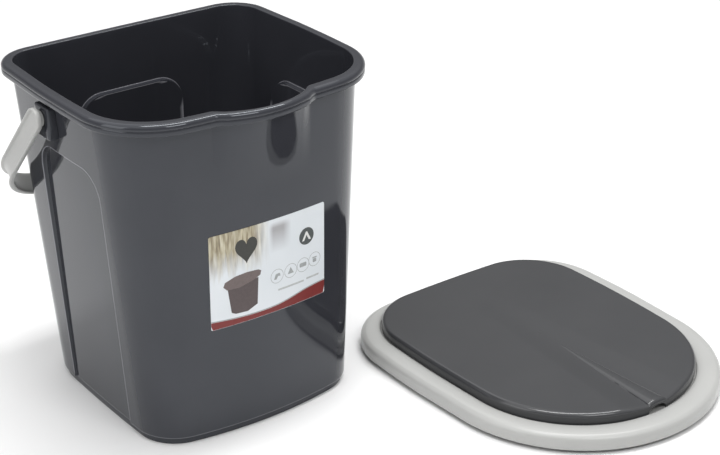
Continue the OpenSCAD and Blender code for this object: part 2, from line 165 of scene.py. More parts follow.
def half_outline(s, xs, ys, xb, n_front, n_back):
    """Right-hand half of a shape, from the front middle to the back middle.

    Gives (x, y, side), where side says which stretch the point is on.
    """
    rf = bow_radius(s.half, s.front_bow)
    rb = bow_radius(s.half, s.back_bow)
    rs = bow_radius((s.front + s.back) / 2, s.side_bow)
    cf = (0.0, rf - s.front)
    cb = (0.0, s.back - rb)
    cs = (s.half - rs, 0.0)
    f = reach(cf, rf - s.front_r, cs, rs - s.front_r, 1)
    b = reach(cb, rb - s.back_r, cs, rs - s.back_r, -1)

    def bearing(c, p):
        return math.atan2(p[1] - c[1], p[0] - c[0])

    def corner(c, r, t0, t1, n):
        angles = [mix(t0, t1, i / n) for i in range(n + 1)]
        return [(c[0] + r * math.cos(t), c[1] + r * math.sin(t), "corner") for t in angles]

    points = [(x, cf[1] - math.sqrt(rf * rf - x * x), "front") for x in xs]
    points += corner(f, s.front_r, bearing(cf, f), bearing(cs, f), n_front)
    points += [(cs[0] + math.sqrt(rs * rs - y * y), y, "side") for y in ys]
    points += corner(b, s.back_r, bearing(cs, b), bearing(cb, b), n_back)
    points += [(x, cb[1] + math.sqrt(rb * rb - x * x), "back") for x in xb]
    return points


def closed(half):
    """A half outline and its mirror image as one closed ring of points."""
    return half + [(-p[0],) + tuple(p[1:]) for p in half[-2:0:-1]]


# ---- mesh builders -------------------------------------------------------------------

def new_object(name, data):
    """Puts an object with a mesh, a light or a camera in the scene."""
    obj = bpy.data.objects.new(name, data)
    bpy.context.scene.collection.objects.link(obj)
    return obj


def finish_mesh(name, bm, sharp_deg):
    """Turns a bmesh in millimetres into a smooth-shaded object in metres."""
    bmesh.ops.remove_doubles(bm, verts=bm.verts, dist=1e-4)
    bmesh.ops.recalc_face_normals(bm, faces=bm.faces)
    bm.transform(Matrix.Scale(MM, 4))
    mesh = bpy.data.meshes.new(name)
    bm.to_mesh(mesh)
    bm.free()
    mesh.shade_smooth()
    mesh.set_sharp_from_angle(angle=math.radians(sharp_deg))
    return new_object(name, mesh)


def add_rings(bm, rings, loop=False, caps=(None, None)):
    """Joins rings of points into a skin. caps are centre points for the two ends."""
    grid = [[bm.verts.new(p) for p in ring] for ring in rings]
    n = len(grid[0])
    pairs = list(zip(grid, grid[1:]))
    if loop:
        pairs.append((grid[-1], grid[0]))
    for low, high in pairs:
        for i in range(n):
            j = (i + 1) % n
            bm.faces.new((low[i], low[j], high[j], high[i]))
    for ring, centre in ((grid[0], caps[0]), (grid[-1], caps[1])):
        if centre is not None:
            hub = bm.verts.new(centre)
            for i in range(n):
                bm.faces.new((ring[i], ring[(i + 1) % n], hub))


def add_strip(bm, rows):
    """Joins open rows of points into a sheet."""
    grid = [[bm.verts.new(p) for p in row] for row in rows]
    for low, high in zip(grid, grid[1:]):
        for i in range(len(low) - 1):
            bm.faces.new((low[i], low[i + 1], high[i + 1], high[i]))


def dress(obj, material, body, slot, *nodes):
    """Gives a piece its material and its body, and hides the CAD nodes it stands for; slot is not
    used.
    """
    obj.data.materials.clear()
    obj.data.materials.append(material)
    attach(obj, body)
    if nodes:
        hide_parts(*nodes)
    return obj


# ---- materials -----------------------------------------------------------------------

BLACK = (0.0, 0.0, 0.0)
WHITE = (1.0, 1.0, 1.0)
COOL = (0.90, 0.95, 1.0)
# The lighter colour painted along edges as a highlight, where they would catch the light.
PAINTED_HIGHLIGHT = (0.34, 0.34, 0.37)
CLOUD_SCALE = 9.0
SMEAR_SCALE = 26.0
GRAIN_SCALE = 300.0
RIPPLE_SCALE = 38.0
GRAIN_DEPTH = 0.00006
GATE_R = 0.0026
GATE_HEIGHT = 9.0
LID_GATE = ((SEAT_AT[0] + 0.4) * MM, (SEAT_AT[1] - 27.0) * MM, (LID_TOP - 1.2) * MM)


class Nodes:
    """A small helper that builds a material's node tree."""

    def __init__(self, name):
        self.material = bpy.data.materials.new(name)
        self.material.use_nodes = True
        self.tree = self.material.node_tree
        self.shader = self.tree.nodes["Principled BSDF"]
        self.coords = self.tree.nodes.new("ShaderNodeTexCoord").outputs["Object"]

    def add(self, kind, **values):
        node = self.tree.nodes.new(kind)
        for key, value in values.items():
            setattr(node, key, value)
        return node

    def link(self, source, target):
        self.tree.links.new(source, target)

    def scaled(self, scale):
        node = self.add("ShaderNodeMapping")
        node.inputs["Scale"].default_value = scale
        self.link(self.coords, node.inputs["Vector"])
        return node.outputs["Vector"]

    def noise(self, scale, detail=2.0, stretch=(1, 1, 1)):
        node = self.add("ShaderNodeTexNoise")
        node.inputs["Scale"].default_value = scale
        node.inputs["Detail"].default_value = detail
        self.link(self.scaled(stretch), node.inputs["Vector"])
        return node.outputs["Fac"]

    def ramp(self, source, stops):
        node = self.add("ShaderNodeValToRGB")
        elements = node.color_ramp.elements
        while len(elements) < len(stops):
            elements.new(0.5)
        for element, (place, colour) in zip(elements, stops):
            element.position = place
            element.color = (*colour, 1.0)
        self.link(source, node.inputs["Fac"])
        return node.outputs["Color"]

    def span(self, source, low, high, to_low=0.0, to_high=1.0):
        node = self.add("ShaderNodeMapRange")
        for key, value in (("From Min", low), ("From Max", high),
                           ("To Min", to_low), ("To Max", to_high)):
            node.inputs[key].default_value = value
        self.link(source, node.inputs["Value"])
        return node.outputs["Result"]

    def blend(self, fac, a, b, mode="MIX"):
        node = self.add("ShaderNodeMix", data_type="RGBA", blend_type=mode)
        for socket, value in zip((node.inputs[0], node.inputs[6], node.inputs[7]), (fac, a, b)):
            if isinstance(value, (int, float)):
                socket.default_value = value
            elif isinstance(value, tuple):
                socket.default_value = (*value, 1.0)
            else:
                self.link(value, socket)
        return node.outputs[2]

    def maths(self, operation, a, b=None):
        node = self.add("ShaderNodeMath", operation=operation)
        for socket, value in zip(node.inputs, (a, b)):
            if isinstance(value, (int, float)):
                socket.default_value = value
            elif value is not None:
                self.link(value, socket)
        return node.outputs["Value"]

    def bump(self, height, strength, distance):
        node = self.add("ShaderNodeBump")
        node.inputs["Strength"].default_value = strength
        node.inputs["Distance"].default_value = distance
        self.link(height, node.inputs["Height"])
        self.link(node.outputs["Normal"], self.shader.inputs["Normal"])


def gate_mark(m, centre):
    """Height of the small ring that the mould's gate leaves at a point of the object."""
    away = m.add("ShaderNodeVectorMath", operation="DISTANCE")
    m.link(m.coords, away.inputs[0])
    away.inputs[1].default_value = centre
    near = m.span(away.outputs["Value"], 0.0, GATE_R * 2)
    return m.ramp(near, [(0.3, BLACK), (0.5, WHITE), (0.7, BLACK)])


def plastic(name, dark, light, rough, grain, sheen=WHITE, gate=None):
    """Moulded plastic: slightly uneven colour and gloss over a fine moulded skin.

    Where the mesh marks an edge, a lighter line is painted into the colour as a highlight.
    """
    m = Nodes(name)
    cloud = m.ramp(m.noise(CLOUD_SCALE, 3.0), [(0.3, dark), (0.7, light)])
    # Painted highlight: the edge attribute blends the lighter colour into the plastic's colour.
    edge = m.add("ShaderNodeAttribute", attribute_name="edge").outputs["Fac"]
    m.link(m.blend(edge, cloud, PAINTED_HIGHLIGHT), m.shader.inputs["Base Color"])
    smear = m.noise(SMEAR_SCALE, 4.0, (1, 1, 0.35))
    m.link(m.span(smear, 0.3, 0.7, rough[0], rough[1]), m.shader.inputs["Roughness"])
    ripple = m.maths("MULTIPLY", m.noise(RIPPLE_SCALE, 1.0), 2.0)
    skin = m.maths("ADD", m.noise(GRAIN_SCALE, 2.0), ripple)
    if gate:
        skin = m.maths("ADD", skin, m.maths("MULTIPLY", gate_mark(m, gate), GATE_HEIGHT))
    m.bump(skin, grain, GRAIN_DEPTH)
    m.shader.inputs["IOR"].default_value = 1.5
    m.shader.inputs["Specular Tint"].default_value = (*sheen, 1.0)
    return m.material


def print_ink(name, colour, rough=0.4):
    """A flat printed colour with the faint mottling of ink."""
    m = Nodes(name)
    dark = tuple(c * 0.86 for c in colour)
    m.link(m.ramp(m.noise(420.0, 3.0), [(0.35, dark), (0.65, colour)]),
           m.shader.inputs["Base Color"])
    m.shader.inputs["Roughness"].default_value = rough
    return m.material


bucket_plastic = plastic("bucket_plastic", (0.028, 0.029, 0.035), (0.034, 0.035, 0.042),
                         (0.03, 0.06), 0.08, COOL)
lid_plastic = plastic("lid_plastic", (0.041, 0.042, 0.045), (0.047, 0.048, 0.051),
                      (0.12, 0.18), 0.2, gate=LID_GATE)
grey_plastic = plastic("grey_plastic", (0.40, 0.402, 0.392), (0.43, 0.432, 0.42),
                       (0.29, 0.35), 0.05)


# ---- bucket --------------------------------------------------------------------------

WALL_TOP = inset(RIM, OVERHANG)
WALL_LOW = inset(FOOT, -FOOT_STEP)
FRONT_COLUMNS = (0, 6, 12, 18, 24, 30, 35, 39, 41.5, 43, 44, 45.5, 47.5, 50, 52.5, 54.5,
                 56, 57, 58.5, 61, 66, 73, 80)
# Offsets of the columns that follow a panel's outline, from its floor to the wall.
EDGE_COLUMNS = (-0.8, -0.2, 0.1, 0.4, 0.7, 1.0, 1.3, 1.6, 2.2)
# Painted highlight lines: their place just outside a panel's edge, their half width, and how
# strongly the lighter colour is painted on the outer wall, the inner wall and in a band just above
# the foot.
HIGHLIGHT_LINE = 1.45
HIGHLIGHT_LINE_HALF = 0.25
OUTER_PAINTED_HIGHLIGHT = 0.8
INNER_PAINTED_HIGHLIGHT = 0.45
FOOT_PAINTED_HIGHLIGHT = 0.3
FOOT_HIGHLIGHT_H = 0.6
# A point of the bucket beyond this distance from the middle is on a wall.
WALL_FROM = 100.0

# Profiles as (inset, height): the foot band, and the inside corner above the floor.
FOOT_BAND = ((1.2, 0.0), (0.55, 0.12), (0.15, 0.5), (0.0, 1.1), (0.0, 4.0), (0.0, FOOT_H))
FLOOR_CORNER = ((5.0, 8.0), (5.5, 5.4), (6.8, 3.8), (8.8, 3.1), (11.0, FLOOR))
# The wall's lower edge above the foot, as (inset, height above the foot).
FOOT_LEDGE = ((0.36, 0.02), (0.14, 0.14), (0.0, 0.5))
# The rim's turned-down edge as (inset, drop below the top): down its inside, round the
# bottom, up the lower band, over the crease and on to the upper band.
RIM_SKIRT = ((WALL, WALL), (WALL, 11.3), (2.15, 11.85), (1.5, LIP_H), (0.8, 11.95),
             (0.35, 11.6), (0.18, 10.8), (0.14, 8.5), (0.22, 7.1), (0.5, 6.65), (0.62, 6.4),
             (0.42, 6.1), (0.12, 5.6), (0.0, 5.0))
# The rim's flat top as (inset, share of the way to the inner edge).
RIM_FLAT = ((6.4, 0.25), (7.8, 0.52), (9.2, 0.8), (10.3, 1.0))
RIM_OUTER_R = 5.0
RIM_INNER_R = 1.2
# How far the rings that close the base and the floor shrink towards the middle.
FLOOR_SHARES = (0.8, 0.5, 0.2)


def wall_shape(z):
    """The bucket's outer plan shape at height z."""
    return mix_shape(WALL_LOW, WALL_TOP, z / BUCKET_H)


def spout_reach(x):
    """How far the pour lip carries the edge forwards at x, in millimetres."""
    u = abs(x) - SPOUT_HALF
    if u < 0:
        return SPOUT_STEP + SPOUT_BOW * (1 - (x / SPOUT_HALF) ** 2)
    t = min(1.0, u / SPOUT_STEP_W)
    return SPOUT_STEP * mix(1 - t, (1 + math.cos(math.pi * t)) / 2, SPOUT_ROUND)


def spout_fade(z):
    """Share of the pour lip's reach that the wall has at height z."""
    return max(0.0, (z - SPOUT_LOW) / (BUCKET_H - SPOUT_LOW)) ** SPOUT_FADE


COLUMN_GAP = 0.2


def panel_edge(half, z, top, off, k):
    """Where a panel's outline, grown by off, is at height z; column k keeps its order."""
    rise = z - (top - PANEL_R)
    if rise <= 0:
        return half + off
    r = PANEL_R + off
    return half - PANEL_R + max(math.sqrt(max(0.0, r * r - rise * rise)),
                                    COLUMN_GAP * (k + 1))


def panel_depth(u, z, half, top):
    """How deep a recessed panel is at u across it and height z."""
    qx = abs(u) - (half - PANEL_R)
    qz = z - (top - PANEL_R)
    if qz <= 0:
        outside = qx - PANEL_R
    elif qx <= 0:
        outside = qz - PANEL_R
    else:
        outside = math.hypot(qx, qz) - PANEL_R
    full = mix(PANEL_SHALLOW, PANEL_DEEP, max(0.0, z) / top)
    return full * smooth(1 - outside / PANEL_STEP)


def bucket_ring(shape, z, by=0.0, grow=0.0, share=0.0, recessed=True, level=None):
    """A ring of the bucket inside a shape; level is its height if not z."""
    top = PANEL_TOP + grow
    side = SIDE_HALF + grow
    back = BACK_HALF + grow
    side_edge = [panel_edge(side, z, top, off, k) for k, off in enumerate(EDGE_COLUMNS)]
    back_edge = [panel_edge(back, z, top, off, k) for k, off in enumerate(EDGE_COLUMNS)]
    shares = (0.25, 0.5, 0.75, 0.93)
    ys = [-e for e in side_edge[::-1]] + [-side_edge[0] * f for f in shares[::-1]] + [0.0]
    ys += [side_edge[0] * f for f in shares] + side_edge
    xb = back_edge[::-1] + [back_edge[0] * f for f in shares[::-1]] + [0.0]
    out = []
    for x, y, place in half_outline(inset(shape, by), FRONT_COLUMNS, ys, xb, 22, 14):
        if place == "front":
            y -= share * spout_reach(x)
        elif place == "side" and recessed:
            x -= panel_depth(y, z, side, top)
        elif place == "back" and recessed:
            y -= panel_depth(x, z, back, top)
        out.append((x, y, z if level is None else level))
    return closed(out)


def panel_rows(top):
    """Heights of the rows round a panel's top corners and over its upper edge."""
    low = top - PANEL_R
    rows = [low + PANEL_R * math.sin(math.radians(a)) for a in range(6, 73, 6)]
    return rows + [top + off for off in EDGE_COLUMNS]


def panel_line(u, z, half, top):
    """Is a point of the wall on the line just outside a panel's edge?"""
    qx = abs(u) - (half - PANEL_R)
    qz = z - (top - PANEL_R)
    outside = qx - PANEL_R if qz <= 0 else math.hypot(max(0.0, qx), qz) - PANEL_R
    return abs(outside - HIGHLIGHT_LINE) < HIGHLIGHT_LINE_HALF


def paint_edge_highlights(obj):
    """Paints highlight lines into the colour along the edges that catch the light: round the panels
    and above the foot.
    """
    marks = obj.data.attributes.new("edge", "FLOAT", "POINT")
    for vertex, mark in zip(obj.data.vertices, marks.data):
        x, y, z = vertex.co / MM
        if FOOT_H < z < FOOT_H + FOOT_HIGHLIGHT_H:
            mark.value = FOOT_PAINTED_HIGHLIGHT
        for grow, highlight in ((0.0, OUTER_PAINTED_HIGHLIGHT), (WALL, INNER_PAINTED_HIGHLIGHT)):
            on_side = abs(x) > WALL_FROM and panel_line(y, z, SIDE_HALF + grow, PANEL_TOP + grow)
            on_back = y > WALL_FROM and panel_line(x, z, BACK_HALF + grow, PANEL_TOP + grow)
            if z > FOOT_H + 2 and (on_side or on_back):
                mark.value = highlight


def rim_profile():
    """(inset, height, share of the way to the inner edge) from outside to inside."""
    points = [(by, BUCKET_H - drop, 0.0) for by, drop in RIM_SKIRT]
    for c, s in turns(10, 90, 8):
        points.append((RIM_OUTER_R * (1 - c), BUCKET_H - RIM_OUTER_R + RIM_OUTER_R * s, 0.0))
    points += [(by, BUCKET_H, inner) for by, inner in RIM_FLAT]
    flat_end = RIM_FLAT[-1][0]
    for c, s in turns(20, 90, 14):
        points.append((flat_end + RIM_INNER_R * s, BUCKET_H - RIM_INNER_R + RIM_INNER_R * c, 1.0))
    return points


def shrunk(ring, share):
    """A level ring drawn in towards the middle."""
    return [(x * share, y * share, z) for x, y, z in ring]


def build_bucket():
    """The bucket's shell, lofted from its base up the outside and down the inside."""
    edge = wall_shape(FOOT_H)
    rings = [bucket_ring(FOOT, z, by, recessed=False) for by, z in FOOT_BAND]
    rings += [bucket_ring(edge, FOOT_H, by, level=FOOT_H + rise) for by, rise in FOOT_LEDGE]
    # Outside wall, with close-set rows round the tops of the panels.
    rows = [9.6, 13, *range(30, 262, 19), *panel_rows(PANEL_TOP), 295, *range(301, 344, 6)]
    rows += [348, 353, BUCKET_H - WALL]
    rings += [bucket_ring(wall_shape(z), z, share=spout_fade(z)) for z in rows]
    rings += [bucket_ring(RIM, BUCKET_H, by, share=mix(SPOUT_OUTER, 1.0, inner),
                          recessed=False, level=z) for by, z, inner in rim_profile()]
    # Inside wall, down to the floor.
    rows = [12, 20, *range(40, 262, 24), *panel_rows(PANEL_TOP + WALL), 299, *range(307, 348, 8)]
    rows.append(354)
    rings += [bucket_ring(wall_shape(z), z, WALL, WALL, spout_fade(z)) for z in reversed(rows)]
    rings += [bucket_ring(edge, FOOT_H, by, WALL, recessed=False, level=z)
              for by, z in FLOOR_CORNER]
    base = rings[0]
    floor = rings[-1]
    under = [shrunk(base, share) for share in reversed(FLOOR_SHARES)]
    over = [shrunk(floor, share) for share in FLOOR_SHARES]
    bm = bmesh.new()
    add_rings(bm, under + rings + over, caps=((0, 0, 0), (0, 0, FLOOR)))
    shell = finish_mesh("bucket_shell", bm, 50)
    # Painted highlight lines round the panels and above the foot.
    paint_edge_highlights(shell)
    return shell


BOSS_ROOT = 0.25
BOSS_CORNER_R = 4.0
BOSS_SOFT = 1.5
BORE_SOFT = 0.5
# The rounding of a boss's face as (inset, distance behind the face).
BOSS_ROUND = ((0.0, 2.4), (0.25, 1.3), (0.9, 0.4), (1.8, 0.0))


def build_boss(name, side):
    """A pivot boss with rounded edges and its blind bore."""
    bm = bmesh.new()
    root_low = wall_shape(BOSS_LOW).half + BOSS_ROOT
    root_top = wall_shape(BOSS_TOP).half + BOSS_ROOT
    front = PIVOT_Y - BOSS_W / 2 + BOSS_CORNER_R
    back = PIVOT_Y + BOSS_W / 2 - BOSS_CORNER_R

    def outline(by, x_face):
        """The boss seen from its side, inside by, with round corners."""
        high = BOSS_TOP - BOSS_SOFT - by
        low = BOSS_LOW + BOSS_SOFT + by
        points = []
        for cy, cz, start in ((back, high, 0), (front, high, 90), (front, low, 180),
                              (back, low, 270)):
            for c, s in turns(start, start + 90, 15):
                z = cz + BOSS_SOFT * s
                x = x_face
                if x is None:
                    x = mix(root_low, root_top, (z - BOSS_LOW) / (BOSS_TOP - BOSS_LOW))
                points.append((x * side, cy + (BOSS_CORNER_R - by) * c, z))
        return points

    rings = [outline(0.0, None)]
    rings += [outline(by, BOSS_FACE - behind) for by, behind in BOSS_ROUND]
    mouth = []
    for _, y, z in rings[-1]:
        t = math.atan2(z - PIVOT_Z, y - PIVOT_Y)
        mouth.append((math.cos(t), math.sin(t)))
    r = STUD_R + STUD_PLAY
    for grow, x in ((BORE_SOFT, BOSS_FACE), (0.0, BOSS_FACE - BORE_SOFT), (0.0, BORE_FLOOR)):
        rings.append([(x * side, PIVOT_Y + (r + grow) * c, PIVOT_Z + (r + grow) * s)
                      for c, s in mouth])
    middle = (mix(root_low, root_top, 0.5) * side, PIVOT_Y, mix(BOSS_LOW, BOSS_TOP, 0.5))
    add_rings(bm, rings, caps=(middle, (BORE_FLOOR * side, PIVOT_Y, PIVOT_Z)))
    return finish_mesh(name, bm, 40)


# ---- bail ----------------------------------------------------------------------------

HALF_GAP = BAIL_GAP / 2
GRIP_R = bow_radius(HALF_GAP, BAIL_BOW)
CORNER_X = HALF_GAP - BAIL_CORNER
CORNER_Y = BAIL_LEN - GRIP_R + math.sqrt((GRIP_R - BAIL_CORNER) ** 2 - CORNER_X ** 2)
CORNER_TURN = math.atan2(CORNER_Y - BAIL_LEN + GRIP_R, CORNER_X)
HANG = (Matrix.Translation((0, PIVOT_Y, PIVOT_Z))
        @ Matrix.Rotation(math.radians(BAIL_HANG - 90), 4, "X"))

CORNER_STEPS = 36
GRIP_STEPS = 16

# Half of the strap's section as (outwards, across), from the middle of its inner face
# round the rim to the middle of its shallow outer channel.
STRAP_SECTION = [(0.0, 0.0), (0.0, 4.0), (0.0, 8.0), (0.08, 10.3), (0.45, 11.3), (1.2, 11.85),
                 (2.2, STRAP_HALF), (3.8, STRAP_HALF), (4.9, 11.9), (5.6, 11.5), (5.95, 10.9),
                 (5.9, 10.3), (5.5, 9.8), (4.6, 9.35), (3.5, 8.9), (2.8, 8.0), (2.45, 6.4),
                 (2.3, 4.0), (2.25, 0.0)]


def bail_path():
    """(point, outward direction) pairs from one pivot round the grip to the other."""
    shares = (0.0, 0.25, 0.5, 0.75)
    stations = [((HALF_GAP, CORNER_Y * share), (1.0, 0.0)) for share in shares]
    for i in range(CORNER_STEPS + 1):
        t = CORNER_TURN * i / CORNER_STEPS
        d = (math.cos(t), math.sin(t))
        stations.append(((CORNER_X + BAIL_CORNER * d[0], CORNER_Y + BAIL_CORNER * d[1]), d))
    for i in range(1, GRIP_STEPS + 1):
        t = mix(CORNER_TURN, math.pi / 2, i / GRIP_STEPS)
        d = (math.cos(t), math.sin(t))
        stations.append(((GRIP_R * d[0], BAIL_LEN - GRIP_R + GRIP_R * d[1]), d))
    mirrored = [((-p[0], p[1]), (-d[0], d[1])) for p, d in stations[-2::-1]]
    return stations + mirrored


def build_bail():
    """The strap, swept round its path, with a rounded end at each pivot."""
    bm = bmesh.new()
    right = STRAP_SECTION
    left = [(n, -w) for n, w in right[-2:0:-1]]
    section = right + left
    rings = []
    for (px, py), (dx, dy) in bail_path():
        rings.append([(px + n * dx, py + n * dy, w) for n, w in section])
    add_rings(bm, rings)
    for side in (1, -1):
        rows = []
        for c, s in turns(0, 180, 9):
            rows.append([(side * (HALF_GAP + n), -w * s, w * c) for n, w in right])
        add_strip(bm, rows)
    bm.transform(HANG)
    return finish_mesh("bail_strap", bm, 50)


def build_lathe(name, profile, side, steps=48):
    """A turned piece on the pivots' axis, from (x, radius) pairs that start and end on it."""
    bm = bmesh.new()
    rings = []
    for x, r in profile[1:-1]:
        rings.append([(side * x, PIVOT_Y + r * math.cos(math.tau * i / steps),
                       PIVOT_Z + r * math.sin(math.tau * i / steps)) for i in range(steps)])
    ends = tuple((side * profile[k][0], PIVOT_Y, PIVOT_Z) for k in (0, -1))
    add_rings(bm, rings, caps=ends)
    return finish_mesh(name, bm, 40)


# ---- seat and lid --------------------------------------------------------------------

def spline_keys(keys, steps):
    """Catmull-Rom curve through lists of numbers, with steps points between two keys."""
    out = []
    last = len(keys) - 1
    for i in range(last):
        a, b, c, d = (keys[max(0, min(last, i + k))] for k in (-1, 0, 1, 2))
        for j in range(steps):
            t = j / steps
            out.append([0.5 * (2 * q + (r - p) * t + (2 * p - 5 * q + 4 * r - s) * t * t
                               + (3 * q - p - 3 * r + s) * t ** 3)
                        for p, q, r, s in zip(a, b, c, d)])
    out.append(list(keys[-1]))
    return out


def seat_ring(shape, z):
    xs = [shape.half * f for f in (0, 0.05, 0.1, 0.15)]
    ys = [shape.back * f for f in (-0.1, 0.08, 0.25)]
    xb = [shape.half * f for f in (0.3, 0.2, 0.1, 0)]
    ring = closed(half_outline(shape, xs, ys, xb, 40, 26))
    return [(SEAT_AT[0] + p[0], SEAT_AT[1] + p[1], z) for p in ring]


def build_seat():
    """The seat's shell, lofted through sections over its top and back underneath."""
    def key(shape, by, z):
        """A section inside a plan shape, at a height."""
        return [*inset(shape, by), z]

    def border(t, z):
        """A section on the way from the outer edge to the lid's recess."""
        return [*mix_shape(inset(SEAT, 4.2), inset(LID, -2.4), t), z]

    top = [key(SEAT, 2.2, 4.0), key(SEAT, 1.0, 4.1), key(SEAT, 0.35, 4.8), key(SEAT, 0.1, 6.4),
           key(SEAT, 0.08, 9), key(SEAT, 0.1, 12.4), key(SEAT, 0.5, 15.2), key(SEAT, 1.7, 17.6),
           key(SEAT, 4.2, 19.45), border(0.1, 20.3), border(0.28, 20.75), border(0.5, 20.6),
           border(0.72, 20.1), border(0.9, 19.35), key(LID, -2.4, 18.7), key(LID, -1.6, 18.1),
           key(LID, -1.2, 17.3), key(LID, -0.9, 16.7), key(LID, 0.4, LEDGE_Z),
           key(LID, 6, 16.55), key(HOLE, -12, 16.0), key(HOLE, -6, 15.3), key(HOLE, -2.6, 13.6),
           key(HOLE, -0.9, 11.0), key(HOLE, -0.2, 7.0), key(HOLE, 0, 3.0), key(HOLE, 0.1, 0.8),
           key(HOLE, -0.4, 0.12), key(HOLE, -1.3, 0.03), key(HOLE, -2.2, 0.12), key(HOLE, -2.6, 0.8)]
    under = [key(HOLE, -3.0, 9.6), key(HOLE, -6, 12.6), key(LID, 6, 13.8), key(LID, -2.4, 14.0),
             key(LID, -3.6, 16.0), key(SEAT, 7, 17.6), key(SEAT, 3.8, 15.8), key(SEAT, 2.6, 12.8),
             key(SEAT, 2.6, 4.3)]
    bm = bmesh.new()
    rings = [seat_ring(Plan(*k[:-1]), k[-1]) for k in spline_keys(top, 3) + under]
    add_rings(bm, rings, loop=True)
    return finish_mesh("seat_ring", bm, 50)


RIB_T = 2.2
RIB_GAP = 2.0
RIB_SOFT = 0.5
LONG_RIB = 110.0
SIDE_RIB_H = 18.6
LOW_RIB_H = 15.2
FRONT_RIB_LEN = 34.0
FRONT_RIB_SHIFT = 4.0
GUSSET_FOOT = 4.0
GUSSET_EVERY = 55.0
SIDE_GUSSET_LEN = 11.5
FRONT_GUSSET_LEN = 12.6


def add_rib(bm, x, y, foot, size):
    """A soft-edged box under the seat, about (x, y), with its lower face at foot."""
    middle = (SEAT_AT[0] + x, SEAT_AT[1] + y, foot + size[2] / 2)
    placed = Matrix.Translation(middle) @ Matrix.Diagonal((*size, 1))
    box = bmesh.ops.create_cube(bm, size=1.0, matrix=placed)
    edges = {e for v in box["verts"] for e in v.link_edges}
    bmesh.ops.bevel(bm, geom=list(edges), offset=RIB_SOFT, segments=2, affect="EDGES",
                    profile=0.5)


def build_seat_ribs():
    """Locating walls and gussets under the seat, with soft edges."""
    bm = bmesh.new()
    half = RIB_T / 2
    side_x = RIM.half - LIP_W - RIB_GAP - half
    back_y = RIM.back - LIP_W - RIB_GAP
    front_y = FRONT_RIB_SHIFT - back_y + half
    front_x = SPOUT_HALF + SPOUT_STEP_W
    side_gusset = (SIDE_GUSSET_LEN, RIB_T, SIDE_RIB_H - GUSSET_FOOT)
    front_gusset = (RIB_T, FRONT_GUSSET_LEN, LOW_RIB_H - GUSSET_FOOT)
    for m in (1, -1):
        add_rib(bm, m * side_x, 0, 0, (RIB_T, LONG_RIB, SIDE_RIB_H))
        for y in (-GUSSET_EVERY, 0, GUSSET_EVERY):
            add_rib(bm, m * (side_x + SIDE_GUSSET_LEN / 2), y, GUSSET_FOOT, side_gusset)
        add_rib(bm, m * (front_x + FRONT_RIB_LEN / 2), front_y, 0,
                (FRONT_RIB_LEN, RIB_T, LOW_RIB_H))
        for x in (front_x + half, front_x + FRONT_RIB_LEN - half):
            add_rib(bm, m * x, front_y - FRONT_GUSSET_LEN / 2, GUSSET_FOOT, front_gusset)
    add_rib(bm, 0, back_y - half, 0, (LONG_RIB, RIB_T, LOW_RIB_H))
    return finish_mesh("seat_ribs", bm, 40)


# The lid's valley: its half width and how that grows forwards, and where it fades out.
VALLEY_HALF = 27.0
VALLEY_SPREAD = 0.09
VALLEY_MID_Y = -14.0
VALLEY_END_Y = 95.0
VALLEY_RUN = 300.0
TUNNEL_RISE = 1.25
# The lid's edge: the height of its round, the skirt's top, and the rounding of its foot as
# (inset, height above the foot).
EDGE_RISE = 4.6
SKIRT_TOP = LID_TOP - EDGE_RISE
INNER_SKIRT_TOP = SKIRT_TOP - 0.6
SKIRT_FOOT = ((1.95, 0.04), (1.1, 0.0), (0.3, 0.04), (0.0, 0.4))
LID_STEPS = 46


def valley_half(y):
    """Half width of the lid's valley at y."""
    return VALLEY_HALF - VALLEY_SPREAD * (y - VALLEY_MID_Y)


def valley_fade(y):
    """Share of its full depth that the lid's valley has at y."""
    return min(1.0, max(0.0, (VALLEY_END_Y - y) / VALLEY_RUN))


def relief(x, y):
    """Height of the lid's top beside its flat level: the valley and the finger tunnel."""
    fade = valley_fade(y)
    u = min(1.0, abs(x) / valley_half(y))
    depth = mix(1 - u * u, (1 + math.cos(math.pi * u)) / 2, 0.5)
    r = max(0.0, NOTCH * (RIB_START - y) / (LID.front + RIB_START))
    rib = 0.0
    if abs(x) < r:
        rib = TUNNEL_RISE * fade * VALLEY_DEEP * (r / NOTCH) * (1 - (x / r) ** 2) ** 0.6
    return rib - fade * VALLEY_DEEP * depth


def lid_outline(by, shrink=1.0):
    """The lid's outline, close-set at the notch, shrunk towards the dome's middle."""
    xs = [NOTCH * s for _, s in turns(0, 90, 6)]
    xs += [13.1, 13.8, 15, 17, 19.5, 22, 25, 28]
    xb = [38, 30, 22, 14, 7, 0]
    points = closed(half_outline(inset(LID, by), xs, (-55, -35, -15, 10, 35), xb, 56, 36))
    return [(p[0] * shrink, (p[1] - DOME_Y) * shrink + DOME_Y) for p in points]


def skirt_low(x, y, z):
    """Height of the skirt's foot, which arches up over the finger notch."""
    if y > 0 or abs(x) >= NOTCH:
        return z
    return z + (ARCH_TOP - z) * math.sqrt(max(0.0, 1 - (x / NOTCH) ** 2))


